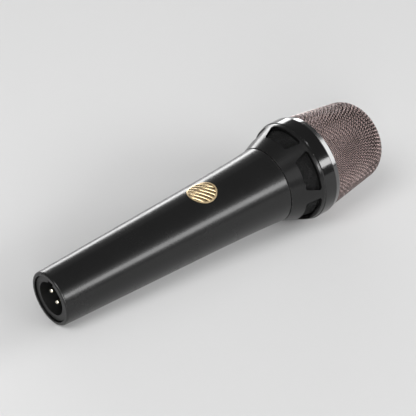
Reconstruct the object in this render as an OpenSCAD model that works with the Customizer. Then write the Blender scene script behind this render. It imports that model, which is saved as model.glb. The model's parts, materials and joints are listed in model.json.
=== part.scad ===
/* Handheld dynamic vocal microphone, lying on its side on a flat surface.
   Every sub-part is drawn along the microphone's own axis, which runs up +Z
   from the tail face to the crown of the grille. lie_down() then lays it on
   the surface, with the tail towards -X and the grille towards +X. */

/* [Handle] */
// Length of the handle from the tail face to the head seam
handle_len = 124.6; // [122:0.2:126]
// Outer radius at the tail
tail_r = 13; // [12.8:0.1:13.4]
// Outer radius at the head seam
neck_r = 18.5; // [18.2:0.1:19]
// Wall thickness of the handle
handle_wall = 2.2; // [1.9:0.1:2.5]
// Radius of the round inlay on the upper side
inlay_r = 7; // [5:0.5:7.5]
// Distance of the inlay's centre from the tail face
inlay_z = 86; // [60:1:95]

/* [Tail connector] */
// Radius of the socket that the cable plug enters
socket_r = 8.15; // [8.1:0.05:8.2]
// Depth of the socket behind its mouth
socket_depth = 15; // [14:0.5:16]
// Radius of a contact pin
contact_r = 1.2; // [1.15:0.05:1.25]
// Radius of the circle that the contact pins stand on
contact_circle_r = 3.96; // [3.9:0.02:4]

/* [Head shell] */
// Largest radius of the head, at the clamp ring
ring_r = 24.8; // [24.6:0.1:25.2]
// Number of rear windows
window_count = 6; // [4:1:6]
// Width of a window along its edge nearest the ring
window_wide = 19.6; // [12:0.1:20]
// Width of a window along its edge nearest the handle
window_narrow = 15; // [10:0.1:16]

/* [Grille] */
// Radius of the basket where it leaves the clamp ring
basket_r = 23.85; // [23.8:0.05:23.9]
// Height of the basket above the clamp ring
basket_h = 38.7; // [37:0.1:41]
// Taper of the basket's side, in degrees
basket_taper = 7.8; // [6:0.2:9]
// Radius of the shallow crown
crown_r = 48; // [44:1:56]
// Radius of the rounded shoulder
shoulder_r = 10.5; // [9:0.5:12]
// Distance between neighbouring wires of the weave
wire_pitch = 3.5; // [3.4:0.1:6]
// Radius of a wire
wire_r = 0.42; // [0.3:0.02:0.44]

/* [Capsule] */
// Outer radius of the capsule frame
capsule_r = 15.8; // [15:0.1:15.9]
// Mean radius of the voice coil
coil_r = 8.1; // [7.9:0.1:8.2]
// Number of rings of holes in the capsule's front cap
cap_rings = 3; // [1:1:3]

/* [Hidden] */
$fn = 96;
// Overrun that lets a cutting solid pass its face
over = 0.5;
// Radial gap of a running fit between turned parts
running_gap = 0.08;
// Gap between pieces that only sit next to each other
seat_gap = 0.05;

// Handle outline and bores
tail_edge = 0.9;
edge_steps = 4;
taper_steps = 18;
taper_share = 0.86;
flare_power = 9;
lip_z = 23;
lip_r = 9.6;
lip_end_z = 26;
mouth_z = 112;
mouth_r = 13.9;
spigot_r = 16.3;
pilot_end_z = handle_len + 1.6;
thread_low_z = pilot_end_z + 0.4;
spigot_root_r = 15.7;
spigot_end_z = handle_len + 7;
small_chamfer = 0.4;
inlay_depth = 0.6;
inlay_margin = 0.08;
inlay_rim = 0.7;
inlay_dish = 0.15;

// Tail connector
insert_r = 11.2;
insert_z = 0.8;
insert_end_z = lip_z - seat_gap;
socket_floor_z = insert_z + socket_depth;
latch_w = 3.4;
latch_r = 9.3;
latch_end_z = 9.8;
contact_len = 12.6;
contact_nose = 1;
contact_nose_arc = 80;
contact_shank_r = 1.4;
contact_angles = [90, 270, 180];
cup_r = 1.6;
cup_bore_r = 1;
cup_end_z = 28;
cup_open_z = 24.4;
screw_r = 1.45;
screw_z = 19.5;
screw_tip_r = 10.4;
screw_head_r = 13.3;
screw_bore_end_r = 15;
hex_r = 0.8;
hex_depth = 1.3;
strip_t = 0.5;
strip_w = 3;
strip_foot_h = 2.6;

// Internal leads, as points that a smooth curve passes through
lead_r = 0.45;
lead_sides = 6;
lead_steps = 4;
eye_y = 3.5;
lead_end_z = 138.1;
lead_side = [1, 0, 0.01];
lead_a = [[0, -3.96, 25], [0, -3.96, 30], [1.2, -2, 45], [1, 1, 65], [-1.2, 1, 85],
          [-1.2, -1.2, 105], [0, -3, 124], [0, -eye_y, 134], [0, -eye_y, lead_end_z]];
lead_b = [[-3.96, 0, 25], [-3.96, 0, 30], [-2, 1.5, 45], [-1, -1, 65], [1.2, -1, 85],
          [1.2, 1.2, 105], [0, 3, 124], [0, eye_y, 134], [0, eye_y, lead_end_z]];

// Capsule holder and rubber mount
plug_r = mouth_r - seat_gap;
plug_wall = 2.4;
plug_z = 119;
flange_r = 15.4;
flange_top_z = spigot_end_z + 1.4;
holder_hole_r = 5.5;
collar_r = 15.2;
collar_bore_r = 13.63;
collar_top_z = 148.5;
collar_slot_w = 6;
collar_slots = 4;
collar_slot_z = flange_top_z + 2.5;
collar_band = 4;
holder_floor_z = spigot_end_z - 1;
mount_r = collar_bore_r - running_gap;
mount_z = 141;
mount_neck_r = 12.2;
mount_lip_r = 14.6;
mount_lip_z = 149.3;
mount_rib = 2;
mount_groove = 0.7;
mount_slope = 0.5;
mount_pitch = 2.6;
mount_grooves = 2;
lip_slope = 0.2;
chamber_r = 9.4;
chamber_wall = 1;
chamber_z = 139;
board_r = 7.2;
board_z = 137.4;
board_t = 1.5;
eye_r = 0.8;

// Capsule
frame_z = 150;
frame_floor_z = 152.2;
frame_wall = 1.4;
frame_top_z = 169.9;
ledge_r = 13.4;
ledge_z = 164;
ledge_top_z = 166;
frame_vent_r = 0.6;
frame_vents = 12;
ledge_slope = 1;
hole_sides = 24;
yoke_r = 12.6;
yoke_bore_r = 9.1;
yoke_floor_z = 154.4;
yoke_top_z = 163.4;
magnet_r = 6.5;
magnet_top_z = 160;
pole_r = 7.2;
centre_vent_r = 2;
coil_t = 0.7;
coil_z = 160.6;
dome_r = 8.5;
dome_z = 166.9;
dome_rise = 1.9;
film_t = 0.25;
surround_r = 13.6;
surround_rise = 0.9;
film_edge_r = 14.3;
curve_steps = 8;
cap_z = frame_top_z + seat_gap;
cap_t = 1.6;
cap_hole_r = 1.05;
cap_ring_gap = 4.1;
cap_ring_holes = 6;
disc_z = 169.35;
disc_t = 0.5;

// Seal, head shell and clamp ring
seal_z = handle_len + seat_gap;
seal_h = 0.5;
seal_r = neck_r - 0.4;
shell_z = seal_z + seal_h + seat_gap;
shell_low_r = neck_r + 0.2;
shell_high_r = 24.3;
shell_high_z = 139.9;
shell_top_z = 141;
shell_wall = 1.7;
seam_chamfer = 0.15;
thread_r = spigot_r + running_gap;
thread_top_z = spigot_end_z + 0.1;
shell_root_r = 16.9;
window_low_z = 132.1;
window_high_z = 139.2;
window_corner = 0.8;
window_phase = -6;
upstand_in_r = 21.9;
upstand_out_r = 22.6;
upstand_z = 144;
foam_gap = 0.1;
vent_foam_r = 16.7;
ring_low_z = shell_top_z + seat_gap;
ring_edge = 0.35;
ring_chamfer_z = 148;
ring_high_z = 150.4;
ring_bore_r = 24.2;
ring_lip_r = basket_r + 0.1;
ring_lip_z = 149.6;
ring_front_r = 24.1;

// Basket section: a crown arc, a shoulder arc, a tapering side and a straight hem
basket_z = ring_high_z + 0.1;
crown_z = basket_z + basket_h;
crown_centre_z = crown_z - crown_r;
arc_gap = crown_r - shoulder_r;
side_d = basket_r * cos(basket_taper) + (basket_z - crown_centre_z) * sin(basket_taper);
crown_angle = asin((side_d - shoulder_r) / arc_gap) - basket_taper;
shoulder_angle = 90 - basket_taper;
shoulder_centre = [arc_gap * sin(crown_angle), crown_centre_z + arc_gap * cos(crown_angle)];
side_top = shoulder_centre + shoulder_r * [sin(shoulder_angle), cos(shoulder_angle)];
crown_s = crown_r * crown_angle * PI / 180;
shoulder_s = crown_s + shoulder_r * (shoulder_angle - crown_angle) * PI / 180;
side_s = shoulder_s + (side_top.y - basket_z) / cos(basket_taper);
hem_z = 145;
hem_s = side_s + basket_z - hem_z;
weave_rise = wire_r + 0.02;
weave_inset = wire_r + weave_rise;
basket_t = 2 * weave_inset;
weave_droop = 0.08;
weave_swing = 4;
wire_sides = 3;
// Shortest part step that a cut wire end takes below its last crossing
least_tail = 0.2;
tiny = 0.001;
rim_gap = 0.03;
rim_out_r = ring_bore_r - seat_gap;
rim_out_t = 0.25;
rim_in_r = basket_r - basket_t - rim_gap;
rim_in_t = 0.3;
rim_base_z = 144.3;
rim_base_t = 0.5;
rim_top_z = ring_lip_z - seat_gap;
liner_t = 2.5;
liner_gap = 0.25;
liner_low_z = 141.3;
liner_low_r = rim_in_r - rim_in_t - foam_gap;
liner_step_z = 150;

// Resting pose: the tail's edge and the clamp ring's rear edge touch the surface
rest_z = ring_low_z + ring_edge;
lean = atan2(ring_r - handle_r(tail_edge), rest_z - tail_edge);
inlay_turn = 187;
rest_drop = handle_r(tail_edge) * cos(lean) - tail_edge * sin(lean);
reach_high = crown_centre_z * cos(lean) + crown_r;
reach_low = -(tail_r - tail_edge) * sin(lean);

// Outer radius of the handle at height z: a straight cone that flares at the seam
function handle_r(z) = let (u = z / handle_len)
    tail_r + (neck_r - tail_r) * (taper_share * u + (1 - taper_share) * pow(u, flare_power));

// Outer radius of the head shell at height z
function shell_r(z) = shell_low_r
    + (shell_high_r - shell_low_r) * (z - shell_z) / (shell_high_z - shell_z);

// Points of an arc about centre c, from angle a to angle b
function arc(c, r, a, b, steps) =
    [for (k = [0:steps]) let (t = a + (b - a) * k / steps) c + r * [cos(t), sin(t)]];

// Angle of the basket's outward normal from the axis, at arc length s from the crown
function basket_angle(s) = s < crown_s ? s / crown_r * 180 / PI
    : s < shoulder_s ? crown_angle + (s - crown_s) / shoulder_r * 180 / PI
    : s < side_s ? shoulder_angle : 90;

// Point [radius, height] of the basket's outer section at arc length s
function basket_outer(s) = let (a = basket_angle(s))
    s < crown_s ? [crown_r * sin(a), crown_centre_z + crown_r * cos(a)]
    : s < shoulder_s ? shoulder_centre + shoulder_r * [sin(a), cos(a)]
    : s < side_s ? side_top + (s - shoulder_s) * [sin(basket_taper), -cos(basket_taper)]
    : [basket_r, basket_z - (s - side_s)];

// The same section point, moved inwards by inset
function basket_section(s, inset) = let (a = basket_angle(s))
    basket_outer(s) - inset * [sin(a), cos(a)];

// Arc length and azimuth of the flat weave's point (i, j) once it is drawn into the basket
function drape(i, j) =
    let (flat = wire_pitch * norm([i, j]), turn = atan2(j, i), pull = pow(min(1, flat / hem_s), 2))
    [flat * (1 + weave_droop * pull * pow(sin(2 * turn), 2)), turn + weave_swing * pull * sin(4 * turn)];

// Outward unit normal at a draped point
function drape_normal(i, j) = let (d = drape(i, j), a = basket_angle(d[0]))
    [sin(a) * cos(d[1]), sin(a) * sin(d[1]), cos(a)];

// Position of a draped point, raised or sunk from the weave's middle surface
function drape_point(i, j, rise) = let (d = drape(i, j), p = basket_section(d[0], weave_inset - rise))
    [p.x * cos(d[1]), p.x * sin(d[1]), p.y];

// Number of whole crossings on one side of wire i that lie above the hem
function crossings(i, j = 0) = drape(i, j)[0] > hem_s ? j - 1 : crossings(i, j + 1);

// Steps along wire i, from hem to hem, with a part step down into the rim at each end
function wire_steps(i) =
    let (n = crossings(i), last = drape(i, n)[0],
         part = (hem_s - last) / (drape(i, n + 1)[0] - last), tail = part > least_tail ? [n + part] : [])
    concat(-tail, [for (j = [-n:n]) j], tail);

// Catmull-Rom point between p1 and p2 at fraction t
function spline(p0, p1, p2, p3, t) = 0.5 * (2 * p1 + (p2 - p0) * t
    + (2 * p0 - 5 * p1 + 4 * p2 - p3) * t * t + (3 * p1 - 3 * p2 + p3 - p0) * t * t * t);

// Smooth path through the points of route
function smooth_path(route) = let (n = len(route) - 1)
    concat([for (k = [0:n - 1], step = [0:lead_steps - 1])
        spline(route[max(0, k - 1)], route[k], route[k + 1], route[min(n, k + 2)], step / lead_steps)],
        [route[n]]);

function unit(v) = v / norm(v);

// Direction of a path at its point k
function heading(path, k) = unit(path[min(len(path) - 1, k + 1)] - path[max(0, k - 1)]);

// Lay the upright microphone on the surface, with the inlay facing up
module lie_down() {
    translate([-(reach_high + reach_low) / 2, 0, rest_drop])
        rotate([0, 90 - lean, 0])
            rotate([0, 0, inlay_turn])
                children();
}

// Turned solid from a list of [radius, height] points
module turned(outline) {
    rotate_extrude() polygon(outline);
}

// Plain tube between two heights
module tube(r_out, r_in, low_z, high_z) {
    turned([[r_in, low_z], [r_out, low_z], [r_out, high_z], [r_in, high_z]]);
}

// Round bar that points away from the axis at height z
module radial_bar(angle, r, z, from_r, to_r) {
    rotate([0, 0, angle]) translate([from_r, 0, z]) rotate([0, 90, 0]) cylinder(r = r, h = to_r - from_r);
}

// Tube of few sides swept along a path, with one normal per path point
module swept(path, normals, r, sides) {
    rings = [for (k = [0:len(path) - 1])
        let (n = normals[k], b = cross(heading(path, k), n))
        for (m = [0:sides - 1]) path[k] + r * (cos(360 * m / sides) * n + sin(360 * m / sides) * b)];
    last = len(rings) - sides;
    polyhedron(rings, concat(
        [[for (m = [0:sides - 1]) m]],
        [[for (m = [sides - 1:-1:0]) last + m]],
        [for (k = [0:len(path) - 2], m = [0:sides - 1]) let (a = k * sides, n = (m + 1) % sides)
            [a + m, a + sides + m, a + sides + n, a + n]]));
}

// Solid inside the handle's taper near the inlay, moved inwards by inset
module taper_core(inset) {
    low = inlay_z - 2 * inlay_r;
    high = inlay_z + 2 * inlay_r;
    turned(concat([[0, low]],
        [for (k = [0:edge_steps]) let (z = low + (high - low) * k / edge_steps) [handle_r(z) - inset, z]],
        [[0, high]]));
}

// Tapered tube with a connector bore, an inner lip, a hollow middle and a spigot with a thread relief
module handle() {
    low_z = lip_end_z;
    color("#1d1e21") lie_down() difference() {
        turned(concat(
            [[0, 0]],
            arc([tail_r - tail_edge, tail_edge], tail_edge, -90, 0, edge_steps),
            [for (k = [1:taper_steps]) let (z = handle_len * k / taper_steps) [handle_r(z), z]],
            [[spigot_r, handle_len], [spigot_r, pilot_end_z], [spigot_root_r, thread_low_z],
             [spigot_root_r, spigot_end_z - small_chamfer],
             [spigot_root_r - small_chamfer, spigot_end_z], [0, spigot_end_z]]));
        translate([0, 0, -over]) cylinder(r = insert_r + seat_gap, h = lip_z + over);
        translate([0, 0, lip_z - over]) cylinder(r = lip_r, h = lip_end_z - lip_z + 2 * over);
        turned(concat(
            [[0, low_z]],
            [for (k = [0:taper_steps]) let (z = low_z + (mouth_z - low_z) * k / taper_steps)
                [handle_r(z) - handle_wall, z]],
            [[0, mouth_z]]));
        translate([0, 0, mouth_z - over]) cylinder(r = mouth_r, h = handle_len);
        radial_bar(180, screw_r + seat_gap, screw_z, insert_r - over, screw_bore_end_r);
        difference() {
            radial_bar(0, inlay_r + inlay_margin, inlay_z, tail_r, neck_r);
            taper_core(inlay_depth);
        }
    }
}

// Plain round inlay that follows the handle's curve, with a raised rim
module inlay_disc() {
    color("#b9985a") lie_down() union() {
        intersection() {
            radial_bar(0, inlay_r, inlay_z, tail_r, neck_r);
            difference() {
                taper_core(inlay_dish);
                taper_core(inlay_depth - seat_gap);
            }
        }
        intersection() {
            difference() {
                radial_bar(0, inlay_r, inlay_z, tail_r, neck_r);
                radial_bar(0, inlay_r - inlay_rim, inlay_z, tail_r, neck_r);
            }
            difference() {
                taper_core(-inlay_dish / 2);
                taper_core(inlay_dish + seat_gap);
            }
        }
    }
}

// Moulded insert: the plug's socket in front, the contacts' block behind
module connector_insert() {
    color("#26272a") lie_down() difference() {
        turned([[0, insert_z], [insert_r - small_chamfer, insert_z], [insert_r, insert_z + small_chamfer],
                [insert_r, insert_end_z], [0, insert_end_z]]);
        translate([0, 0, insert_z - over]) cylinder(r = socket_r, h = socket_depth + over);
        translate([0, -latch_w / 2, insert_z - over]) cube([latch_r, latch_w, latch_end_z - insert_z + over]);
        for (a = contact_angles) {
            rotate([0, 0, a]) translate([contact_circle_r, 0, 0])
                cylinder(r = contact_shank_r, h = lip_z + over);
        }
        radial_bar(180, screw_r + seat_gap, screw_z, screw_tip_r - seat_gap, insert_r + over);
    }
}

// Contact pin with a rounded nose, a thicker shank in the insert and a solder cup at the back
module contact(angle) {
    nose_z = socket_floor_z - contact_len;
    nose_centre = [contact_r - contact_nose, nose_z + contact_nose];
    color("#c9b27a") lie_down() rotate([0, 0, angle]) translate([contact_circle_r, 0, 0]) difference() {
        turned(concat(
            [[0, nose_z]],
            arc(nose_centre, contact_nose, -contact_nose_arc, 0, edge_steps),
            [[contact_r, socket_floor_z], [contact_shank_r, socket_floor_z],
             [contact_shank_r, insert_end_z + seat_gap], [cup_r, insert_end_z + seat_gap],
             [cup_r, cup_end_z], [0, cup_end_z]]));
        translate([0, 0, cup_open_z]) cylinder(r = cup_bore_r, h = cup_end_z);
        translate([0, -cup_r, cup_open_z + cup_bore_r]) cube([2 * cup_r, 2 * cup_r, cup_end_z]);
    }
}

module contact_1() { contact(contact_angles[0]); }
module contact_2() { contact(contact_angles[1]); }
module contact_3() { contact(contact_angles[2]); }

// Spring strip that bonds the first contact to the handle
module ground_spring() {
    low_z = insert_end_z + seat_gap;
    reach = lip_r - seat_gap;
    eye_r = cup_r + seat_gap;
    start = contact_circle_r + eye_r;
    color("#c8a468") lie_down() rotate([0, 0, contact_angles[0]]) union() {
        translate([contact_circle_r, 0, 0]) tube(eye_r + strip_t, eye_r, low_z, low_z + strip_t);
        translate([start, -strip_w / 2, low_z]) cube([reach - strip_t / 2 - start, strip_w, strip_t]);
        intersection() {
            tube(reach, reach - strip_t, low_z, low_z + strip_foot_h);
            translate([0, -strip_w / 2, low_z]) cube([reach, strip_w, strip_foot_h]);
        }
    }
}

// Small socket screw that locks the insert
module set_screw() {
    color("#3a3b3f") lie_down() difference() {
        radial_bar(180, screw_r, screw_z, screw_tip_r, screw_head_r);
        rotate([0, 0, 180]) translate([screw_head_r - hex_depth, 0, screw_z]) rotate([0, 90, 0])
            cylinder(r = hex_r, h = hex_depth + over, $fn = 6);
    }
}

// One internal lead along its route
module lead(route) {
    path = smooth_path(route);
    normals = [for (k = [0:len(path) - 1]) unit(cross(heading(path, k), lead_side))];
    swept(path, normals, lead_r, lead_sides);
}

// Two leads from the solder cups to the capsule's terminals
module signal_leads() {
    color("#b03030") lie_down() {
        lead(lead_a);
        lead(lead_b);
    }
}

// Carrier pressed into the handle's mouth, with a slotted collar for the rubber mount
module capsule_holder() {
    color("#2b2c2f") lie_down() difference() {
        turned([[plug_r - plug_wall, plug_z], [plug_r - small_chamfer, plug_z],
                [plug_r, plug_z + small_chamfer],
                [plug_r, spigot_end_z + seat_gap], [flange_r, spigot_end_z + seat_gap],
                [flange_r, flange_top_z], [collar_r, flange_top_z], [collar_r, collar_top_z],
                [collar_bore_r, collar_top_z], [collar_bore_r, flange_top_z + plug_wall / 2],
                [holder_hole_r, flange_top_z + plug_wall / 2], [holder_hole_r, holder_floor_z],
                [plug_r - plug_wall, holder_floor_z]]);
        for (k = [0:collar_slots - 1]) {
            rotate([0, 0, (180 + 360 * k) / collar_slots])
                translate([collar_bore_r - over, -collar_slot_w / 2, collar_slot_z])
                    cube([plug_wall + 2 * over, collar_slot_w, collar_top_z - collar_band - collar_slot_z]);
        }
    }
}

// Round board with an eye for each lead
module terminal_board() {
    color("#2f6b3c") lie_down() difference() {
        translate([0, 0, board_z]) cylinder(r = board_r, h = board_t);
        for (side = [-1, 1]) {
            translate([0, side * eye_y, board_z - over]) cylinder(r = eye_r, h = board_t + 2 * over);
        }
    }
}

// Ribbed rubber sleeve that floats the capsule in the holder
module rubber_mount() {
    in_r = chamber_r + seat_gap;
    color("#202020") lie_down() turned(concat(
        [[in_r, mount_z], [mount_r, mount_z]],
        [for (k = [0:mount_grooves - 1]) let (z = mount_z + mount_rib + mount_pitch * k) each [
            [mount_r, z], [mount_r - mount_groove, z + mount_slope],
            [mount_r - mount_groove, z + mount_slope + mount_groove],
            [mount_r, z + 2 * mount_slope + mount_groove]]],
        [[mount_r, collar_top_z], [mount_neck_r, collar_top_z + lip_slope],
         [mount_neck_r, mount_lip_z - lip_slope], [mount_lip_r, mount_lip_z],
         [mount_lip_r, frame_z - seat_gap], [in_r, frame_z - seat_gap]]));
}

// Closed cup behind the capsule that tunes its low notes
module rear_chamber() {
    top_z = frame_z - seat_gap;
    color("#d8d4c8") lie_down() turned([
        [0, chamber_z], [chamber_r - small_chamfer, chamber_z], [chamber_r, chamber_z + small_chamfer],
        [chamber_r, top_z], [chamber_r - chamber_wall, top_z],
        [chamber_r - chamber_wall, chamber_z + chamber_wall], [0, chamber_z + chamber_wall]]);
}

// Cup that holds the motor, with vents round its floor and a ledge for the diaphragm
module capsule_frame() {
    wall_r = capsule_r - frame_wall;
    vent_r = (yoke_r + wall_r) / 2;
    color("#35363a") lie_down() difference() {
        turned([[centre_vent_r, frame_z], [capsule_r - small_chamfer, frame_z],
                [capsule_r, frame_z + small_chamfer], [capsule_r, frame_top_z], [wall_r, frame_top_z],
                [wall_r, ledge_top_z], [ledge_r, ledge_top_z], [ledge_r, ledge_z],
                [wall_r, ledge_z - ledge_slope], [wall_r, frame_floor_z], [centre_vent_r, frame_floor_z]]);
        for (k = [0:frame_vents - 1]) {
            rotate([0, 0, 360 * k / frame_vents]) translate([vent_r, 0, frame_z - over])
                cylinder(r = frame_vent_r, h = frame_floor_z - frame_z + 2 * over, $fn = hole_sides);
        }
    }
}

// Soft iron cup that carries the magnet's field round to the gap
module magnet_yoke() {
    low_z = frame_floor_z + seat_gap;
    color("#8d9094") lie_down() turned([
        [centre_vent_r, low_z], [yoke_r, low_z], [yoke_r, yoke_top_z - small_chamfer],
        [yoke_r - small_chamfer, yoke_top_z], [yoke_bore_r, yoke_top_z],
        [yoke_bore_r, yoke_floor_z], [centre_vent_r, yoke_floor_z]]);
}

// Disc magnet
module magnet() {
    color("#b8bcc2") lie_down() turned([
        [centre_vent_r, yoke_floor_z + seat_gap], [magnet_r, yoke_floor_z + seat_gap],
        [magnet_r, magnet_top_z], [centre_vent_r, magnet_top_z]]);
}

// Pole plate on the magnet, inside the voice coil
module pole_plate() {
    color("#7c8085") lie_down() turned([
        [centre_vent_r, magnet_top_z + seat_gap], [pole_r, magnet_top_z + seat_gap],
        [pole_r, yoke_top_z - small_chamfer], [pole_r - small_chamfer, yoke_top_z],
        [centre_vent_r, yoke_top_z]]);
}

// Perforated front cap, a centre hole and rings of holes
module capsule_cap() {
    color("#9a9ca0") lie_down() difference() {
        turned([[0, cap_z], [capsule_r, cap_z], [capsule_r, cap_z + cap_t - small_chamfer],
                [capsule_r - small_chamfer, cap_z + cap_t], [0, cap_z + cap_t]]);
        translate([0, 0, cap_z - over]) cylinder(r = cap_hole_r, h = cap_t + 2 * over, $fn = hole_sides);
        for (ring = [1:cap_rings], k = [0:cap_ring_holes * ring - 1]) {
            rotate([0, 0, 360 * k / (cap_ring_holes * ring)])
                translate([cap_ring_gap * ring, 0, cap_z - over])
                    cylinder(r = cap_hole_r, h = cap_t + 2 * over, $fn = hole_sides);
        }
    }
}

// Felt disc that damps the front cavity
module damping_disc() {
    color("#cfcabc") lie_down()
        translate([0, 0, disc_z]) cylinder(r = film_edge_r, h = disc_t);
}

// Thin film with a centre dome, a rolled surround and a flat edge
module diaphragm() {
    roll_r = (surround_r - dome_r) / 2;
    roll_c = (surround_r + dome_r) / 2;
    top = concat(
        [for (k = [0:curve_steps]) let (a = 90 * k / curve_steps)
            [dome_r * sin(a), dome_z + dome_rise * cos(a)]],
        [for (k = [1:curve_steps]) let (a = 180 - 180 * k / curve_steps)
            [roll_c + roll_r * cos(a), dome_z + surround_rise * sin(a)]],
        [[film_edge_r, dome_z]]);
    color("#e2ddcf") lie_down() turned(concat(
        [for (p = top) p + [0, film_t]], [for (k = [len(top) - 1:-1:0]) top[k]]));
}

// Coil tube that hangs from the diaphragm into the magnet's gap
module voice_coil() {
    color("#b5662e") lie_down() tube(coil_r + coil_t / 2, coil_r - coil_t / 2, coil_z, dome_z + film_t / 2);
}

// Flat rubber ring between the handle and the head
module seal_ring() {
    color("#141414") lie_down() tube(seal_r, thread_r, seal_z, seal_z + seal_h);
}

// Trapezoid cutter for one rear window, wide towards the ring
module window_cutter() {
    low = window_narrow / 2;
    high = window_wide / 2;
    c = window_corner;
    rotate([90, 0, 90]) linear_extrude(height = 2 * ring_r) polygon([
        [-low + c, window_low_z], [low - c, window_low_z], [low, window_low_z + c],
        [high, window_high_z - c], [high - c, window_high_z], [-high + c, window_high_z],
        [-high, window_high_z - c], [-low, window_low_z + c]]);
}

// Flared shell that screws onto the handle, with its ring of windows
module head_shell() {
    color("#1d1e21") lie_down() difference() {
        turned([[thread_r, shell_z], [shell_low_r - seam_chamfer, shell_z],
                [shell_low_r, shell_z + seam_chamfer], [shell_r(shell_high_z), shell_high_z],
                [ring_r - ring_edge, shell_top_z - ring_edge / 2], [ring_r - ring_edge, shell_top_z],
                [upstand_out_r, shell_top_z], [upstand_out_r, upstand_z], [upstand_in_r, upstand_z],
                [upstand_in_r, shell_high_z + shell_wall / 2],
                [shell_r(shell_high_z) - shell_wall, shell_high_z],
                [shell_r(thread_top_z) - shell_wall, thread_top_z], [shell_root_r, thread_top_z],
                [shell_root_r, thread_low_z + over], [thread_r, thread_low_z]]);
        for (k = [0:window_count - 1]) {
            rotate([0, 0, window_phase + 360 * k / window_count]) window_cutter();
        }
    }
}

// Foam ring behind the windows
module vent_foam() {
    low_z = thread_top_z + foam_gap;
    color("#0e0e10") lie_down() turned([
        [vent_foam_r, low_z], [shell_r(low_z) - shell_wall - foam_gap, low_z],
        [upstand_in_r - foam_gap, window_high_z],
        [upstand_in_r - foam_gap, liner_low_z - foam_gap], [vent_foam_r, liner_low_z - foam_gap]]);
}

// Bright ring that clamps the basket to the shell, with a polished front chamfer
module clamp_ring() {
    color("#2c2d31") lie_down() turned([
        [upstand_out_r + seat_gap, ring_low_z], [ring_r - ring_edge, ring_low_z],
        [ring_r, ring_low_z + ring_edge], [ring_r, ring_chamfer_z - small_chamfer],
        [ring_r - small_chamfer / 4, ring_chamfer_z], [ring_front_r, ring_high_z],
        [ring_lip_r, ring_high_z], [ring_lip_r, ring_lip_z], [ring_bore_r, ring_lip_z],
        [ring_bore_r, upstand_z + rim_gap], [upstand_out_r + seat_gap, upstand_z + rim_gap]]);
}

// Folded channel that grips the cut ends of the wires
module grille_rim() {
    color("#9fa1a6") lie_down() turned([
        [rim_in_r - rim_in_t, rim_base_z], [rim_out_r, rim_base_z], [rim_out_r, rim_top_z],
        [rim_out_r - rim_out_t, rim_top_z], [rim_out_r - rim_out_t, rim_base_z + rim_base_t],
        [rim_in_r, rim_base_z + rim_base_t], [rim_in_r, rim_top_z], [rim_in_r - rim_in_t, rim_top_z]]);
}

// Foam bag that lines the basket
module foam_liner() {
    skin = basket_t + liner_gap;
    steps = 3 * curve_steps;
    // Arc length at which the section stands at the liner's step
    step_s = side_s + basket_z - liner_step_z;
    color("#141416") lie_down() turned(concat(
        [for (k = [0:steps]) basket_section(step_s * k / steps, skin)],
        [[liner_low_r, liner_step_z - foam_gap], [liner_low_r, liner_low_z],
         [liner_low_r - liner_t, liner_low_z], [liner_low_r - liner_t, liner_step_z]],
        [for (k = [steps:-1:0]) basket_section(step_s * k / steps, skin + liner_t)]));
}

// One wire of the weave; across swaps warp and weft, and the wires pass over and under in turn
module wire(i, across) {
    steps = wire_steps(i);
    path = [for (j = steps) let (whole = abs(j - round(j)) < tiny,
            rise = whole ? weave_rise * (((i + j) % 2 == 0) != across ? 1 : -1) : 0)
        across ? drape_point(j, i, rise) : drape_point(i, j, rise)];
    normals = [for (j = steps) across ? drape_normal(j, i) : drape_normal(i, j)];
    swept(path, normals, wire_r, wire_sides);
}

// Woven wire basket, drawn from flat square mesh so that it shears between the four main wires
module grille_mesh() {
    reach = floor(hem_s / wire_pitch);
    color("#c4c2c4") lie_down()
        for (i = [-reach:reach], across = [false, true]) wire(i, across);
}

handle();
inlay_disc();
connector_insert();
contact_1();
contact_2();
contact_3();
ground_spring();
set_screw();
signal_leads();
capsule_holder();
terminal_board();
rubber_mount();
rear_chamber();
capsule_frame();
magnet_yoke();
magnet();
pole_plate();
capsule_cap();
damping_disc();
diaphragm();
voice_coil();
seal_ring();
head_shell();
vent_foam();
clamp_ring();
grille_rim();
foam_liner();
grille_mesh();
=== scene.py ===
"""Looks of a handheld dynamic microphone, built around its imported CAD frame.

The frame gives the construction: handle, tail connector, capsule, head shell,
clamp ring and grille. This script dresses every node with a procedural finish
and models what the solids leave out: the fine weave of the grille, the open
foams, the screw threads and the ribs of the handle's inlay.
"""
import json
import logging
import math
import random
from collections.abc import Iterable, Iterator, Sequence
from dataclasses import dataclass, field
from enum import Enum

import bmesh
import bpy
from mathutils import Matrix, Vector
from mathutils.geometry import delaunay_2d_cdt


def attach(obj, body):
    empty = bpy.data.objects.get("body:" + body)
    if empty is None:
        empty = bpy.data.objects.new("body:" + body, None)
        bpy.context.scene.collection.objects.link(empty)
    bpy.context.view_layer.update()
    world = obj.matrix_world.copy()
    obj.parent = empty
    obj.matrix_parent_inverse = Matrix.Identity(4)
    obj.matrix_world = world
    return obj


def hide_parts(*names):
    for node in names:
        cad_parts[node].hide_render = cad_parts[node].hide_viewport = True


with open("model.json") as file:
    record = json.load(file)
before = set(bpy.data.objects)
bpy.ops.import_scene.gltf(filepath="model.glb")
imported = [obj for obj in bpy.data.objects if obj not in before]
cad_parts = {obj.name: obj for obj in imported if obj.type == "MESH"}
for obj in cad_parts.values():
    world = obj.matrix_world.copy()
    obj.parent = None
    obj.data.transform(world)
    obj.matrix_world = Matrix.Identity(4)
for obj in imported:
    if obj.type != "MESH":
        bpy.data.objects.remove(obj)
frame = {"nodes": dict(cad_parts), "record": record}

Piece = bpy.types.Object
Material = bpy.types.Material
Group = bpy.types.NodeTree
Node = bpy.types.Node
Socket = bpy.types.NodeSocket
Value = Socket | float | Sequence[float]
Colour = tuple[float, float, float, float]

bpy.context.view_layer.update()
LOG = logging.getLogger("microphone")
MM = 0.001
INLAY_HEIGHT = 86.0
INLAY_FLOOR_R = 6.3
ROUND_STEPS = 72
AXIS_R = 0.05


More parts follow.
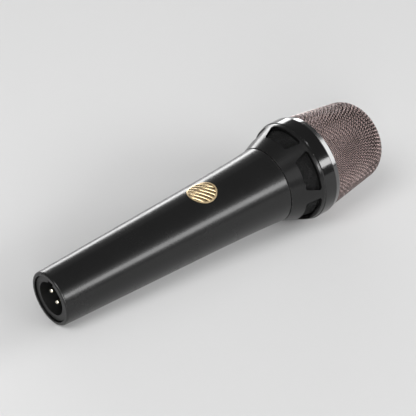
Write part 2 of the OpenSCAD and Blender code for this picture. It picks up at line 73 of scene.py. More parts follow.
class Body(Enum):
    """Rigid bodies of the frame that the new pieces ride on."""

    HANDLE = "handle_body"
    HEAD = "head_body"


class Grain(Enum):
    """What the fine lines of a turned metal run round."""

    HEIGHT = "rings round the axis, spaced by height"
    RADIUS = "rings on a face, spaced by radius"
    INLAY = "rings about the centre of the handle's inlay"


# ---------------------------------------------------------------- own frame


@dataclass(frozen=True)
class OwnFrame:
    """The microphone's upright frame: millimetres, +Z from the tail face to the crown.

    Attributes:
        matrix: Takes a point in own millimetres to the row frame in metres.
    """

    matrix: Matrix

    @classmethod
    def from_mounts(cls, mounts: Sequence[dict], socket_height: float = 8.3) -> "OwnFrame":
        """Work the frame out from the socket and two contact pins.

        Args:
            mounts: The record's mounts.
            socket_height: Height of the socket's mount over the tail face.

        Returns:
            The frame whose origin is the centre of the tail face.
        """
        place = {mount["name"]: mount for mount in mounts}
        socket = place["connector_socket"]
        first, second = (Vector(place[f"contact_{k}_pin"]["pos_m"]) for k in (1, 2))
        up = -Vector(socket["axis"]).normalized()
        side = first - second
        side = (side - up * side.dot(up)).normalized()
        front = side.cross(up)
        origin = Vector(socket["pos_m"]) - up * socket_height * MM
        turn = Matrix((front, side, up)).transposed().to_4x4()
        return cls(Matrix.Translation(origin) @ turn @ Matrix.Scale(MM, 4))

    def settle(self, obj: Piece) -> None:
        """Move a mesh drawn in own millimetres to its place in the row frame.

        Args:
            obj: The piece; its object ends at the origin, unturned and unscaled.
        """
        obj.data.transform(self.matrix @ obj.matrix_world)
        obj.matrix_world = Matrix.Identity(4)
        obj.data.update()


def about_axis(r: float, azimuth: float, z: float) -> Vector:
    """Point at a radius, azimuth and height about the microphone's axis."""
    return Vector((r * math.cos(azimuth), r * math.sin(azimuth), z))


# ---------------------------------------------------------------- mesh tools


def deselect() -> None:
    """Leave nothing selected, so that an operator acts on its own piece alone."""
    if bpy.context.object is not None and bpy.context.object.mode != "OBJECT":
        bpy.ops.object.mode_set(mode="OBJECT")
    bpy.ops.object.select_all(action="DESELECT")


def focus(obj: Piece) -> None:
    """Select one object and make it active.

    Args:
        obj: The object.
    """
    deselect()
    obj.select_set(True)
    bpy.context.view_layer.objects.active = obj


def new_object(name: str, data: bpy.types.ID) -> Piece:
    """Link a new object to the scene.

    Args:
        name: The object's name.
        data: Its mesh, curve, lamp or camera.

    Returns:
        The object.
    """
    obj = bpy.data.objects.new(name, data)
    bpy.context.collection.objects.link(obj)
    return obj


def named(obj: Piece, name: str) -> Piece:
    """Give an object and its data one name.

    Args:
        obj: The object.
        name: The name.

    Returns:
        The same object.
    """
    obj.name = name
    obj.data.name = name
    return obj


def apply_modifiers(obj: Piece) -> None:
    """Apply every modifier of an object, in order.

    Args:
        obj: The object.
    """
    focus(obj)
    for modifier in list(obj.modifiers):
        bpy.ops.object.modifier_apply(modifier=modifier.name)


def outward(obj: Piece) -> None:
    """Merge doubles and turn every face outwards.

    Args:
        obj: The mesh object.
    """
    focus(obj)
    bpy.ops.object.mode_set(mode="EDIT")
    bpy.ops.mesh.select_all(action="SELECT")
    bpy.ops.mesh.remove_doubles(threshold=1e-5)
    bpy.ops.mesh.normals_make_consistent(inside=False)
    bpy.ops.object.mode_set(mode="OBJECT")


def lathe(name: str, outline: Sequence[tuple[float, float]]) -> Piece:
    """Turn an outline about the microphone's axis.

    Args:
        name: The piece's name.
        outline: Radius and height pairs in own millimetres.

    Returns:
        The turned mesh object.
    """
    data = bpy.data.meshes.new(name)
    edges = [(k, k + 1) for k in range(len(outline) - 1)]
    data.from_pydata([(r, 0.0, z) for r, z in outline], edges, [])
    obj = new_object(name, data)
    focus(obj)
    bpy.ops.object.mode_set(mode="EDIT")
    bpy.ops.mesh.select_all(action="SELECT")
    bpy.ops.mesh.spin(steps=ROUND_STEPS, angle=2 * math.pi, center=(0, 0, 0), axis=(0, 0, 1))
    bpy.ops.object.mode_set(mode="OBJECT")
    outward(obj)
    return obj


def tubes(name: str, paths: Iterable[Sequence[Vector]], radius: float, rounding: int = 1) -> Piece:
    """Sweep a tube along each path and join them as one mesh.

    Args:
        name: The piece's name.
        paths: Lists of points in own millimetres.
        radius: The tubes' radius.
        rounding: Extra divisions of each quarter of a tube.

    Returns:
        The mesh object, still in own millimetres.
    """
    curve = bpy.data.curves.new(name, "CURVE")
    curve.dimensions = "3D"
    curve.bevel_depth = radius
    curve.bevel_resolution = rounding
    curve.use_fill_caps = True
    for path in paths:
        spline = curve.splines.new("POLY")
        spline.points.add(len(path) - 1)
        for target, point in zip(spline.points, path):
            target.co = (*point, 1.0)
        spline.use_smooth = True
    focus(new_object(name, curve))
    bpy.ops.object.convert(target="MESH")
    return named(bpy.context.object, name)


def smooth(obj: Piece, angle: float) -> None:
    """Shade an object smooth, with edges above the angle in degrees kept sharp."""
    focus(obj)
    bpy.ops.object.shade_smooth_by_angle(angle=math.radians(angle))


def dress(obj: Piece, material: Material) -> None:
    """Give an object one material in its only slot."""
    obj.data.materials.clear()
    obj.data.materials.append(material)


def seat(obj: Piece, body: Body, slot: str) -> None:
    """Let a new piece ride on a body.

    Args:
        obj: The piece.
        body: The body that it rides on.
        slot: Its record slot; not used.
    """
    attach(obj, body.value)
    LOG.info("%s: %d faces on %s", obj.name, len(obj.data.polygons), body.value)


# ---------------------------------------------------------------- node tools


class Tree:
    """Small helper that adds and links shader nodes.

    Attributes:
        tree: The node tree that it works on.
    """

    def __init__(self, tree: Group) -> None:
        """Wrap a node tree."""
        self.tree = tree

    def add(self, kind: str, **settings: object) -> Node:
        """Add a node.

        Args:
            kind: The node's type name without its ShaderNode prefix.
            **settings: Properties to set on it.

        Returns:
            The new node.
        """
        node = self.tree.nodes.new(kind if kind.startswith("Node") else "ShaderNode" + kind)
        for key, value in settings.items():
            setattr(node, key, value)
        return node

    def put(self, target: Socket, value: Value) -> None:
        """Link a socket to an input, or set a plain value on it.

        Args:
            target: The input.
            value: A socket, a number or a row of numbers.
        """
        if isinstance(value, Socket):
            self.tree.links.new(value, target)
        else:
            target.default_value = value

    def feed(self, node: Node, **inputs: Value) -> Node:
        """Link or set inputs of a node.

        Args:
            node: The node.
            **inputs: A value for each input, with spaces in its name as underscores.

        Returns:
            The same node.
        """
        for label, value in inputs.items():
            self.put(node.inputs[label.replace("_", " ")], value)
        return node

    def math(self, operation: str, *values: Value, clamp: bool = False) -> Socket:
        """Add a Math node.

        Args:
            operation: The operation's name.
            *values: Its operands.
            clamp: Whether the result stays between 0 and 1.

        Returns:
            The result.
        """
        node = self.add("Math", operation=operation, use_clamp=clamp)
        for socket, value in zip(node.inputs, values):
            self.put(socket, value)
        return node.outputs[0]

    def plus(self, first: Value, second: Value) -> Socket:
        """Sum of two values."""
        return self.math("ADD", first, second)

    def minus(self, first: Value, second: Value, clamp: bool = False) -> Socket:
        """First value less the second."""
        return self.math("SUBTRACT", first, second, clamp=clamp)

    def times(self, first: Value, second: Value, clamp: bool = False) -> Socket:
        """Product of two values."""
        return self.math("MULTIPLY", first, second, clamp=clamp)

    def reach(self, first: Value, second: Value) -> Socket:
        """Length of the line whose two square sides are given."""
        return self.math("SQRT", self.plus(self.times(first, first), self.times(second, second)))

    def split(self, vector: Socket) -> Sequence[Socket]:
        """The three parts of a vector."""
        return self.feed(self.add("SeparateXYZ"), Vector=vector).outputs

    def noise(self, vector: Socket, scale: Value, detail: float = 2.0, rough: float = 0.5) -> Socket:
        """Add a noise texture.

        Args:
            vector: Where it is read.
            scale: Its lumps per millimetre, roughly.
            detail: Number of finer layers.
            rough: Strength of the finer layers.

        Returns:
            The noise's value.
        """
        node = self.add("TexNoise")
        self.feed(node, Vector=vector, Scale=scale, Detail=detail, Roughness=rough)
        return node.outputs["Fac"]

    def span(self, value: Socket, low: float, high: float, to_low: float = 0.0,
             to_high: float = 1.0) -> Socket:
        """Map a value smoothly from one range to another, with clamped ends.

        Args:
            value: The value.
            low: Start of its range.
            high: End of its range.
            to_low: What the start becomes.
            to_high: What the end becomes.

        Returns:
            The mapped value.
        """
        node = self.add("MapRange", interpolation_type="SMOOTHSTEP")
        for socket, number in zip(node.inputs, (value, low, high, to_low, to_high)):
            self.put(socket, number)
        return node.outputs["Result"]

    def mix(self, amount: Value, first: Value, second: Value) -> Socket:
        """Mix two colours.

        Args:
            amount: Share of the second one.
            first: The first colour.
            second: The second colour.

        Returns:
            The mixed colour.
        """
        node = self.feed(self.add("Mix", data_type="RGBA"), Factor=amount)
        self.put(node.inputs[6], first)
        self.put(node.inputs[7], second)
        return node.outputs[2]

    def blend(self, amount: Value, first: Value, second: Value) -> Socket:
        """Mix two numbers.

        Args:
            amount: Share of the second one.
            first: The first number.
            second: The second number.

        Returns:
            The mixed number.
        """
        node = self.feed(self.add("Mix", data_type="FLOAT"), Factor=amount)
        self.put(node.inputs[2], first)
        self.put(node.inputs[3], second)
        return node.outputs[0]


class GroupTree(Tree):
    """A shader node group under construction.

    Attributes:
        given: The group's inputs, as read inside it.
        end: Its output node.
    """

    def __init__(self, name: str, numbers: dict[str, float], outputs: Sequence[str]) -> None:
        """Start a group that takes a vector and some numbers.

        Args:
            name: The group's name.
            numbers: Name and default of each number that it takes.
            outputs: Name of each number that it gives.
        """
        super().__init__(bpy.data.node_groups.new(name, "ShaderNodeTree"))
        new_socket = self.tree.interface.new_socket
        new_socket("Vector", in_out="INPUT", socket_type="NodeSocketVector")
        for label, value in numbers.items():
            socket = new_socket(label, in_out="INPUT", socket_type="NodeSocketFloat")
            socket.default_value = value
        for label in outputs:
            new_socket(label, in_out="OUTPUT", socket_type="NodeSocketFloat")
        self.given = self.add("NodeGroupInput").outputs
        self.end = self.add("NodeGroupOutput")

    def close(self, **outputs: Socket) -> Group:
        """Link the group's outputs and return the group."""
        self.feed(self.end, **outputs)
        return self.tree


class Effects:
    """Shader node groups that several finishes share, each built once.

    Attributes:
        turned: Radius, angle and height about the microphone's axis.
        wear: Mask of the worn spots on a band.
        smudge: Variation of gloss as handling leaves it.
        dust: Mask of fine dust specks on upward faces.
        peel: Fine leathery height of paint.
    """

    def __init__(self) -> None:
        """Build every group."""
        self.turned = self._turned()
        self.wear = self._wear()
        self.smudge = self._smudge()
        self.dust = self._dust()
        self.peel = self._peel()

    @staticmethod
    def _turned() -> Group:
        """Build the group of radius, angle and height.

        Returns:
            The group.
        """
        g = GroupTree("Turned coordinates", {}, ("Radius", "Angle", "Height"))
        x, y, z = g.split(g.given["Vector"])
        return g.close(Radius=g.reach(x, y), Angle=g.math("ARCTAN2", y, x), Height=z)

    @staticmethod
    def _wear() -> Group:
        """Build the group that marks worn spots on a band at a given height or radius.

        Returns:
            The group.
        """
        g = GroupTree("Band wear", {"Along": 0.0, "Place": 0.0, "Width": 0.4, "Amount": 0.5}, ("Mask",))
        away = g.math("ABSOLUTE", g.minus(g.given["Along"], g.given["Place"]))
        near = g.minus(1.0, g.math("DIVIDE", away, g.given["Width"]), clamp=True)
        chips = g.noise(g.given["Vector"], 1.1, 6.0, 0.7)
        worn = g.times(near, g.span(chips, 0.35, 0.75))
        spared = g.times(g.minus(1.0, g.given["Amount"]), 0.5)
        return g.close(Mask=g.times(g.minus(worn, spared), 4.0, clamp=True))

    @staticmethod
    def _smudge() -> Group:
        """Build the group that varies gloss as handling does.

        Returns:
            The group.
        """
        g = GroupTree("Handling smudges", {"Strength": 0.1}, ("Value",))
        broad = g.noise(g.given["Vector"], 0.06, 3.0, 0.6)
        fine = g.noise(g.given["Vector"], 0.45, 4.0, 0.65)
        both = g.plus(g.times(broad, 0.65), g.times(fine, 0.35))
        return g.close(Value=g.times(g.minus(both, 0.5), g.given["Strength"]))

    @staticmethod
    def _dust() -> Group:
        """Build the group that scatters fine dust specks on upward faces.

        Returns:
            The group.
        """
        g = GroupTree("Settled dust", {"Amount": 0.5}, ("Mask",))
        cells = g.feed(g.add("TexVoronoi", feature="F1"), Vector=g.given["Vector"], Scale=1.3)
        speck = g.span(cells.outputs["Distance"], 0.02, 0.09, 1.0, 0.0)
        patch = g.span(g.noise(g.given["Vector"], 0.12, 3.0), 0.5, 0.72)
        up = g.split(g.add("NewGeometry").outputs["Normal"])[2]
        mask = g.times(g.times(speck, patch), g.span(up, 0.1, 0.8))
        return g.close(Mask=g.times(mask, g.given["Amount"]))

    @staticmethod
    def _peel() -> Group:
        """Build the group that gives paint its fine leathery height."""
        g = GroupTree("Paint texture", {"Scale": 2.0}, ("Height",))
        return g.close(Height=g.noise(g.given["Vector"], g.given["Scale"], 3.0))


class Canvas(Tree):
    """A material under construction, with its own coordinates ready.

    Attributes:
        material: The material.
        effects: The shared node groups.
        shader: The material's Principled shader.
        own: Place in own millimetres.
        radius: Distance from the microphone's axis.
        angle: Azimuth about the axis.
        height: Height over the tail face.
    """

    def __init__(self, name: str, effects: Effects, own: OwnFrame) -> None:
        """Start a material whose own coordinates are in millimetres along the axis.

        Args:
            name: The material's name.
            effects: The shared node groups.
            own: The microphone's own frame.
        """
        self.material = bpy.data.materials.new(name)
        self.material.use_nodes = True
        super().__init__(self.material.node_tree)
        self.tree.nodes.clear()
        self.effects = effects
        self.shader = self.add("BsdfPrincipled")
        self.feed(self.add("OutputMaterial"), Surface=self.shader.outputs[0])
        location, turn, scale = own.matrix.decompose()
        mapping = self.feed(
            self.add("Mapping", vector_type="TEXTURE"), Vector=self.add("TexCoord").outputs["Object"],
            Location=location, Rotation=turn.to_euler(), Scale=scale)
        self.own = mapping.outputs[0]
        self.radius, self.angle, self.height = self.group(effects.turned).outputs

    def group(self, group: Group, **inputs: Value) -> Node:
        """Place a shared group over own coordinates and set its other inputs."""
        return self.feed(self.add("Group", node_tree=group), Vector=self.own, **inputs)

    def effect(self, group: Group, **inputs: Value) -> Socket:
        """Place a shared group and return its only output."""
        return self.group(group, **inputs).outputs[0]

    def set(self, **values: Value) -> None:
        """Set or link inputs of the Principled shader, with spaces as underscores."""
        self.feed(self.shader, **values)

    def gloss(self, roughness: float, strength: float) -> Socket:
        """A mean roughness that smudges of the given strength vary."""
        return self.plus(roughness, self.effect(self.effects.smudge, Strength=strength))

    def bump(self, height: Socket, strength: float, depth: float) -> None:
        """Feed a height to the shader's normal.

        Args:
            height: The height.
            strength: The bump's strength.
            depth: Depth of a full step of height, in millimetres.
        """
        node = self.add("Bump")
        self.feed(node, Strength=strength, Distance=depth * MM, Height=height)
        self.set(Normal=node.outputs[0])


def grey(level: float, warm: float = 0.0) -> Colour:
    """A grey of the given linear level, warmer or cooler by a small share."""
    return (level * (1 + warm), level, level * (1 - warm), 1.0)


def shade(colour: Colour, factor: float, lift: float = 0.0) -> Colour:
    """A colour made darker or lighter by a factor and a small lift."""
    return (*(min(1.0, part * factor + lift) for part in colour[:3]), 1.0)


# ---------------------------------------------------------------- finishes


@dataclass(frozen=True)
class Finish:
    """A surface finish that becomes one material.

    Attributes:
        name: The material's name.
        colour: Its main colour.
    """

    name: str
    colour: Colour

    def lay(self, c: Canvas) -> None:
        """Lay the finish on a canvas."""
        raise NotImplementedError

    def build(self, effects: Effects, own: OwnFrame) -> Material:
        """Build the finish's material.

        Args:
            effects: The shared node groups.
            own: The microphone's own frame.

        Returns:
            The material.
        """
        canvas = Canvas(self.name, effects, own)
        self.lay(canvas)
        return canvas.material


@dataclass(frozen=True)
class SatinPaint(Finish):
    """Soft-gloss paint on metal, with faint smudges, dust and worn edge bands.

    Attributes:
        roughness: Mean roughness of the paint.
        bands: Heights in own millimetres where an edge wears.
        wear: How much of an edge band is worn.
        metal: Colour of the metal where the paint is worn off.
        dust: Colour of the dust.
    """

    colour: Colour = grey(0.004)
    roughness: float = 0.26
    bands: tuple[float, ...] = ()
    wear: float = 0.12
    metal: Colour = grey(0.12, 0.04)
    dust: Colour = grey(0.2, 0.05)

    def lay(self, c: Canvas) -> None:
        """Lay the paint, its wear and its dust.

        Args:
            c: The canvas.
        """
        tone = c.mix(c.noise(c.own, 0.09, 3.0), self.colour, shade(self.colour, 1.5))
        worn: Value = 0.0
        for place in self.bands:
            band = c.effect(c.effects.wear, Along=c.height, Place=place, Width=0.3, Amount=self.wear)
            worn = c.math("MAXIMUM", worn, band)
        dust = c.effect(c.effects.dust, Amount=0.25)
        rough = c.blend(worn, c.gloss(self.roughness, 0.16), 0.42)
        c.set(Base_Color=c.mix(dust, c.mix(worn, tone, self.metal), self.dust))
        c.set(Roughness=c.blend(dust, rough, 0.8), Metallic=c.times(worn, 0.9))
        c.set(IOR=1.42, Coat_Roughness=0.12, Coat_Weight=0.12)
        c.bump(c.effect(c.effects.peel, Scale=2.6), strength=0.06, depth=0.05)


@dataclass(frozen=True)
class TurnedMetal(Finish):
    """Metal with fine lines that run round the axis.

    Attributes:
        roughness: Mean roughness.
        lines: How strongly the lines show.
        line_scale: Lines per millimetre, roughly.
        grain: How the lines run.
        smudge: Strength of the gloss variation.
        metallic: Metal's share of the shading, lower under a clear lacquer.
        bright: Where along the lines' spacing a brighter face starts, and its colour.
    """

    roughness: float = 0.2
    lines: float = 0.2
    line_scale: float = 6.0
    grain: Grain = Grain.HEIGHT
    smudge: float = 0.12
    metallic: float = 1.0
    bright: tuple[float, Colour] | None = None

    def spacing(self, c: Canvas) -> Socket:
        """Find the coordinate in millimetres that spaces the lines.

        Args:
            c: The canvas.

        Returns:
            The coordinate.
        """
        if self.grain is not Grain.INLAY:
            return c.radius if self.grain is Grain.RADIUS else c.height
        _, y, z = c.split(c.own)
        return c.reach(y, c.minus(z, INLAY_HEIGHT))

    def lay(self, c: Canvas) -> None:
        """Lay the lined metal and its brighter face.

        Args:
            c: The canvas.
        """
        spacing = self.spacing(c)
        line = c.feed(c.add("TexNoise", noise_dimensions="1D"),
                      W=spacing, Scale=self.line_scale, Detail=4.0, Roughness=0.7)
        stroke = line.outputs["Fac"]
        dark = shade(self.colour, 1 - 0.35 * self.lines)
        colour = c.mix(c.span(stroke, 0.3, 0.7), dark, self.colour)
        if self.bright:
            start, tone = self.bright
            colour = c.mix(c.span(spacing, start - 0.03, start + 0.03), colour, tone)
        rough = c.plus(c.gloss(self.roughness, self.smudge), c.times(c.minus(stroke, 0.5), 0.2))
        c.set(Base_Color=colour, Metallic=self.metallic, Roughness=rough)
        c.bump(stroke, strength=0.25 * self.lines, depth=0.02)


@dataclass(frozen=True)
class Moulded(Finish):
    """Moulded plastic or rubber with a fine grain.

    Attributes:
        roughness: Mean roughness.
        grain: Strength of the fine grain.
        sheen: Sheen weight, for rubber's soft edge light.
    """

    roughness: float = 0.45
    grain: float = 0.15
    sheen: float = 0.0

    def lay(self, c: Canvas) -> None:
        """Lay the grained compound.

        Args:
            c: The canvas.
        """
        c.set(Base_Color=c.mix(c.noise(c.own, 0.5, 4.0), self.colour, shade(self.colour, 1.4, 0.004)))
        c.set(Roughness=c.gloss(self.roughness, 0.2), Sheen_Weight=self.sheen)
        c.bump(c.noise(c.own, 7.0), strength=self.grain, depth=0.04)


@dataclass(frozen=True)
class OpenFoam(Finish):
    """Open-cell foam: thin glossy struts round small pores, with painted shade darkening each pore.

    Attributes:
        pores: Pores per millimetre.
        painted_pore_shade: Colour of the painted shade inside a pore.
    """

    colour: Colour = grey(0.03)
    pores: float = 0.9
    painted_pore_shade: Colour = grey(0.002)

    def lay(self, c: Canvas) -> None:
        """Lay the struts, and the painted shade that darkens the middle of each pore.

        Args:
            c: The canvas.
        """
        cells = c.feed(c.add("TexVoronoi", feature="DISTANCE_TO_EDGE"), Vector=c.own, Scale=self.pores)
        strut = c.span(cells.outputs["Distance"], 0.04, 0.22, 1.0, 0.0)
        # The middle of each pore is painted near black, as painted shade where the foam's depth falls
        # dark.
        c.set(Base_Color=c.mix(strut, self.painted_pore_shade, self.colour), Roughness=c.span(strut, 0.0, 1.0, 0.8, 0.2))
        c.bump(strut, strength=0.9, depth=0.4)


@dataclass(frozen=True)
class WireSteel(Finish):
    """Bright drawn wire with faint darker patches.

    Attributes:
        roughness: Mean roughness.
    """

    colour: Colour = (0.22, 0.17, 0.162, 1.0)
    roughness: float = 0.12

    def lay(self, c: Canvas) -> None:
        """Lay the bright metal.

        Args:
            c: The canvas.
        """
        patches = c.span(c.noise(c.own, 0.8, 3.0), 0.35, 0.7)
        c.set(Base_Color=c.mix(patches, shade(self.colour, 0.8), self.colour))
        c.set(Metallic=1.0, Roughness=c.gloss(self.roughness, 0.15))
        c.bump(c.noise(c.own, 9.0), strength=0.08, depth=0.03)


@dataclass(frozen=True)
class Felt(Finish):
    """Pressed felt or silk with short fibres."""

    def lay(self, c: Canvas) -> None:
        """Lay the fibres.

        Args:
            c: The canvas.
        """
        fibre = c.noise(c.own, 3.5, 6.0, 0.8)
        c.set(Base_Color=c.mix(fibre, shade(self.colour, 0.7), self.colour))
        c.set(Roughness=c.span(fibre, 0.2, 0.8, 0.95, 0.8))
        c.bump(fibre, strength=0.5, depth=0.1)


@dataclass(frozen=True)
class Winding(Finish):
    """Enamelled wire wound round the axis in fine turns, with painted shade in the grooves between them.

    Attributes:
        pitch: Height of one turn in millimetres.
    """

    pitch: float = 0.12

    def lay(self, c: Canvas) -> None:
        """Lay the turns of wire, and the painted shade that darkens the grooves between them.

        Args:
            c: The canvas.
        """
        wave = c.math("SINE", c.times(c.height, 2 * math.pi / self.pitch))
        turn = c.span(wave, -1.0, 1.0)
        # The grooves between turns are painted at half the wire's colour, as painted shade.
        c.set(Base_Color=c.mix(turn, shade(self.colour, 0.5), self.colour))
        c.set(Metallic=0.8, Roughness=c.span(turn, 0.0, 1.0, 0.5, 0.25))
        c.bump(turn, strength=0.6, depth=0.05)


@dataclass(frozen=True)
class Film(Finish):
    """Thin formed film with faint rays near its edge.

    Attributes:
        rays: Number of pressed rays.
        ray_r: Radii between which the rays grow to their full height.
    """

    rays: int = 48
    ray_r: tuple[float, float] = (8.5, 9.5)

    def lay(self, c: Canvas) -> None:
        """Lay the film and its rays.

        Args:
            c: The canvas.
        """
        ray = c.span(c.math("SINE", c.times(c.angle, float(self.rays))), -1.0, 1.0)
        c.set(Base_Color=c.mix(c.noise(c.own, 0.6, 3.0), shade(self.colour, 0.85), self.colour))
        c.set(Roughness=c.span(ray, 0.0, 1.0, 0.3, 0.22))
        c.bump(c.times(ray, c.span(c.radius, *self.ray_r)), strength=0.5, depth=0.1)


class Workshop:
    """Builds each finish once, dresses nodes and completes new pieces.

    Attributes:
        own: The microphone's own frame.
        effects: The shared node groups.
        made: The materials built so far, by name.
    """

    def __init__(self, own: OwnFrame) -> None:
        """Prepare the shared groups.

        Args:
            own: The microphone's own frame.
        """
        self.own = own
        self.effects = Effects()
        self.made: dict[str, Material] = {}

    def material(self, finish: Finish) -> Material:
        """Build a finish's material on first use.

        Args:
            finish: The finish.

        Returns:
            Its material.
        """
        if finish.name not in self.made:
            self.made[finish.name] = finish.build(self.effects, self.own)
        return self.made[finish.name]

    def dress_nodes(self, finishes: dict[str, Finish]) -> None:
        """Dress CAD nodes.

        Args:
            finishes: The finish of each node.
        """
        for node, finish in finishes.items():
            dress(frame["nodes"][node], self.material(finish))
            LOG.info("%s: finished as %s", node, finish.name)

    def complete(self, obj: Piece, finish: Finish, body: Body, slot: str, angle: float) -> None:
        """Bring a modelled piece to its place, then smooth, dress and seat it.

        Args:
            obj: The piece, drawn in own millimetres.
            finish: Its finish.
            body: The body that it rides on.
            slot: Its record slot.
            angle: Edges above this angle, in degrees, stay sharp.
        """
        self.own.settle(obj)
        smooth(obj, angle)
        dress(obj, self.material(finish))
        seat(obj, body, slot)


# ---------------------------------------------------------------- screw thread


@dataclass(frozen=True)
class Thread:
    """One helical screw thread of triangular section with a small flat crest.

    Attributes:
        name: The piece's name.
        root_r: Radius of the thread's foot in millimetres.
        crest_r: Radius of its crest.
        low_z: Height at which the thread starts.
        turns: Number of turns.
        foot: Width of the foot.
        crest: Width of the crest.
        pitch: Rise of one turn.
        phase: Turn at which the thread starts, as a share of one.
    """

    name: str
    root_r: float
    crest_r: float
    low_z: float
    turns: float
    foot: float = 0.85
    crest: float = 0.2
    pitch: float = 1.25
    phase: float = 0.0

    def build(self, shop: Workshop, finish: Finish, body: Body, slot: str) -> None:
        """Sweep the thread and let its ends run out.

        Args:
            shop: The workshop.
            finish: The thread's finish.
            body: The body that it rides on.
            slot: Its record slot.
        """
        count = round(self.turns * ROUND_STEPS)
        runout = ROUND_STEPS // 4
        verts, faces = [], []
        for k in range(count + 1):
            turn = 2 * math.pi * (k / ROUND_STEPS + self.phase)
            middle = self.low_z + self.pitch * k / ROUND_STEPS
            rise = min(1.0, (k + 1) / runout, (count + 1 - k) / runout)
            crest_r = self.root_r + (self.crest_r - self.root_r) * rise
            for r, dz in ((self.root_r, -self.foot / 2), (crest_r, -self.crest / 2),
                          (crest_r, self.crest / 2), (self.root_r, self.foot / 2)):
                verts.append(about_axis(r, turn, middle + dz))
        for k in range(count):
            for m in range(4):
                a, b = 4 * k + m, 4 * k + (m + 1) % 4
                faces.append((a, b, b + 4, a + 4))
        faces += [(0, 1, 2, 3), tuple(4 * count + m for m in (3, 2, 1, 0))]
        data = bpy.data.meshes.new(self.name)
        data.from_pydata(verts, [], faces)
        obj = new_object(self.name, data)
        outward(obj)
        shop.complete(obj, finish, body, slot, angle=30.0)


# ---------------------------------------------------------------- sub-assemblies


@dataclass
class SubAssembly:
    """Nodes and pieces that are built together.

    Attributes:
        shop: The workshop.
    """

    shop: Workshop

    def build(self) -> None:
        """Dress the nodes and add the new pieces."""
        raise NotImplementedError


@dataclass
class Handle(SubAssembly):
    """The tapered handle with its inlay, its carrier and its screw thread.

    Attributes:
        paint: Finish of the handle.
        inlay: Finish of the round inlay.
        gilt: Finish of the inlay's ribs.
        thread: The screw thread on the handle's spigot.
        length: Height of the handle's outer surface in millimetres.
        tail_r: Radius of the tail.
        flare: How much wider the handle is at its mouth.
        late: Share of the flare that comes close to the mouth.
        ribs: Number of the inlay's ribs.
        rib_pitch: Distance between the ribs.
        rib_r: Radius of the round that each rib is a slice of.
        rib_rise: Height of a rib over the inlay's floor.
        rib_turn: Angle of the ribs from the handle's length, in radians.
        rib_steps: Straight pieces in a rib.
        inlay_depth: Depth of the inlay's floor under the handle's surface.
    """

    paint: SatinPaint = SatinPaint("handle_paint", bands=(0.4, 124.5))
    inlay: TurnedMetal = TurnedMetal(
        "inlay_metal", (0.16, 0.1, 0.045, 1.0), 0.36, 0.6, 2.2, Grain.INLAY, metallic=0.75,
        bright=(INLAY_FLOOR_R, (0.8, 0.62, 0.37, 1.0)))
    gilt: TurnedMetal = TurnedMetal("rib_metal", (0.86, 0.67, 0.4, 1.0), 0.24, 0.3, 3.0, metallic=0.85)
    thread: Thread = Thread("spigot_thread", root_r=15.66, crest_r=16.25, low_z=127.0, turns=3.0)
    length: float = 124.6
    tail_r: float = 13.0
    flare: float = 5.5
    late: float = 0.14
    ribs: int = 6
    rib_pitch: float = 2.0
    rib_r: float = 0.9
    rib_rise: float = 0.26
    rib_turn: float = math.radians(60.0)
    rib_steps: int = 12
    inlay_depth: float = 0.15

    def surface_r(self, z: float) -> float:
        """Radius of the handle's outer surface at a height, in millimetres."""
        u = z / self.length
        return self.tail_r + self.flare * ((1 - self.late) * u + self.late * u ** 9)

    def rib(self, offset: float) -> list[Vector]:
        """Walk one straight rib that follows the handle's curve.

        Args:
            offset: The rib's distance from the inlay's centre.

        Returns:
            The rib's points in own millimetres.
        """
        half = math.sqrt(INLAY_FLOOR_R ** 2 - offset ** 2)
        along, over = math.cos(self.rib_turn), math.sin(self.rib_turn)
        points = []
        for k in range(self.rib_steps + 1):
            t = half * (2 * k / self.rib_steps - 1)
            y, z = t * over + offset * along, INLAY_HEIGHT + t * along - offset * over
            r = self.surface_r(z) - self.inlay_depth + self.rib_rise - self.rib_r
            points.append(Vector((math.sqrt(r * r - y * y), y, z)))
        return points

    def inlay_ribs(self) -> None:
        """Build the plain parallel ribs of the inlay as one piece."""
        offsets = [(k - (self.ribs - 1) / 2) * self.rib_pitch for k in range(self.ribs)]
        obj = tubes("inlay_ribs", [self.rib(offset) for offset in offsets], self.rib_r, rounding=8)
        self.shop.complete(obj, self.gilt, Body.HANDLE, "inlay_metal", angle=60.0)

    def build(self) -> None:
        """Dress the handle's nodes, and add the inlay's ribs and the thread."""
        self.shop.dress_nodes({
            "handle": self.paint,
            "inlay_disc": self.inlay,
            "capsule_holder": Moulded("holder_plastic", grey(0.012), 0.5),
            "seal_ring": Moulded("seal_rubber", grey(0.006), 0.7, 0.2, 0.2),
        })
        self.inlay_ribs()
        bare = TurnedMetal("spigot_metal", grey(0.42, 0.02), 0.3, 0.3, 8.0)
        self.thread.build(self.shop, bare, Body.HANDLE, "handle_paint")


@dataclass
class TailConnector(SubAssembly):
    """The recessed connector: insert, contacts, bond spring, set screw and leads."""

    def build(self) -> None:
        """Dress the connector's nodes."""
        gold = TurnedMetal("contact_metal", (0.84, 0.79, 0.66, 1.0), 0.16, 0.1)
        self.shop.dress_nodes({f"contact_{k}": gold for k in (1, 2, 3)})
        self.shop.dress_nodes({
            "connector_insert": Moulded("insert_plastic", grey(0.005), 0.4, 0.12),
            "ground_spring": TurnedMetal("spring_bronze", (0.6, 0.42, 0.22, 1.0), 0.3),
            "set_screw": TurnedMetal("screw_steel", grey(0.09), 0.35),
            "signal_leads": Moulded("lead_jacket", (0.3, 0.02, 0.02, 1.0), 0.4, 0.05),
        })


